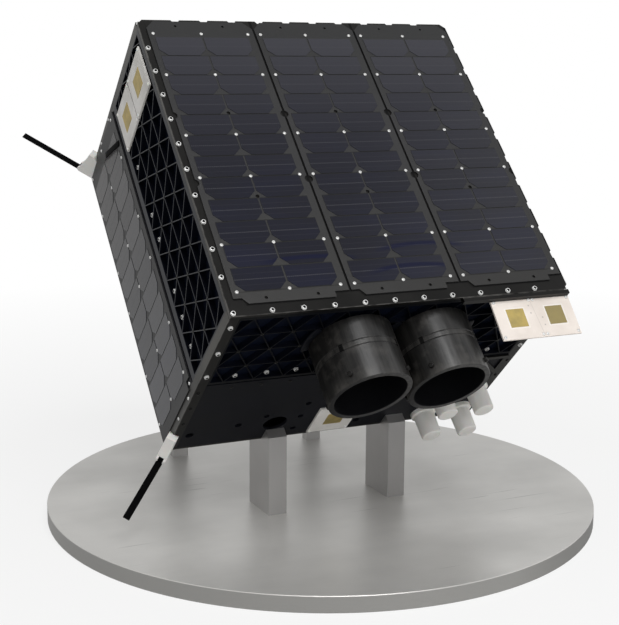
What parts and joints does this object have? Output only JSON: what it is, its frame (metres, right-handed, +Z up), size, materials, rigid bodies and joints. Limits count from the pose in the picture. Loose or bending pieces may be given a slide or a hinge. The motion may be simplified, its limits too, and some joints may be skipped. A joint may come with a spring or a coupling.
{
  "type": "earth observation microsatellite on display plinth",
  "caption": "Box-shaped imaging microsatellite, tilted on a round display plinth, with solar deck, isogrid sides, telescope baffles and folding blade antennas.",
  "frame": {"origin": "middle of the plinth's underside, on the floor", "axes": "+X along the body's width, to the right seen from the solar deck's front edge; +Y to the back; +Z up"},
  "size_m": [0.9599, 0.96, 0.8455],
  "materials": {
    "brushed_plinth": "brushed, clear",
    "brushed_post": "brushed, clear",
    "ring_metal": "turned, clear",
    "black_frame": "black anodised, satin",
    "black_isogrid": "black anodised, satin",
    "black_plate": "black anodised, satin",
    "panel_board": "dark laminate, satin",
    "solar_cell": "dark blue cell under cover glass",
    "black_baffle": "black coating, satin",
    "dark_lens": "dark coated glass",
    "white_plastic": "matte",
    "white_board": "satin laminate",
    "gold_patch": "gold plated, dull",
    "black_blade": "matte black coating"
  },
  "bodies": {
    "satellite": {"antenna_bracket_front": "white_plastic", "antenna_bracket_rear": "white_plastic", "baffle_left": "black_baffle", "baffle_right": "black_baffle", "bottom_plate": "black_frame", "corner_rail_back_left": "black_frame", "corner_rail_back_right": "black_frame", "corner_rail_front_left": "black_frame", "corner_rail_front_right": "black_frame", "front_gusset": "black_frame", "front_post_left": "brushed_post", "front_post_right": "brushed_post", "isogrid_back": "black_isogrid", "isogrid_front": "black_isogrid", "isogrid_left": "black_isogrid", "isogrid_right": "black_isogrid", "lens_left": "dark_lens", "lens_right": "dark_lens", "lower_wall_back": "black_plate", "lower_wall_front": "black_plate", "lower_wall_left": "black_plate", "lower_wall_right": "black_plate", "patch_board_front_1": "white_board", "patch_board_side_1": "white_board", "patch_board_side_2": "white_board", "patches_front": "gold_patch", "patches_side": "gold_patch", "plinth_disc": "brushed_plinth", "radome_1": "white_plastic", "radome_2": "white_plastic", "radome_3": "white_plastic", "radome_4": "white_plastic", "rear_post_left": "brushed_post", "rear_post_right": "brushed_post", "separation_ring": "ring_metal", "shelf_bar": "black_frame", "shelf_board": "white_board", "shelf_patches": "gold_patch", "side_panel_left": "panel_board", "side_panel_right": "panel_board", "solar_cells_left": "solar_cell", "solar_cells_right": "solar_cell", "solar_cells_top": "solar_cell", "solar_deck": "black_frame", "solar_panel_1": "panel_board", "solar_panel_2": "panel_board", "solar_panel_3": "panel_board"},
    "front_antenna": {"antenna_blade_front": "black_blade"},
    "rear_antenna": {"antenna_blade_rear": "black_blade"}
  },
  "joints": [
    {"name": "front_antenna_fold", "type": "hinge", "parent": "satellite", "child": "front_antenna", "pos_m": [-0.32339, -0.07674, 0.14516], "axis": [-0.757, 0.4539, 0.47], "range_deg": [0, 90]},
    {"name": "rear_antenna_fold", "type": "hinge", "parent": "satellite", "child": "rear_antenna", "pos_m": [-0.32523, 0.34786, 0.58484], "axis": [0.6691, 0.5162, 0.5346], "range_deg": [0, 90]}
  ]
}
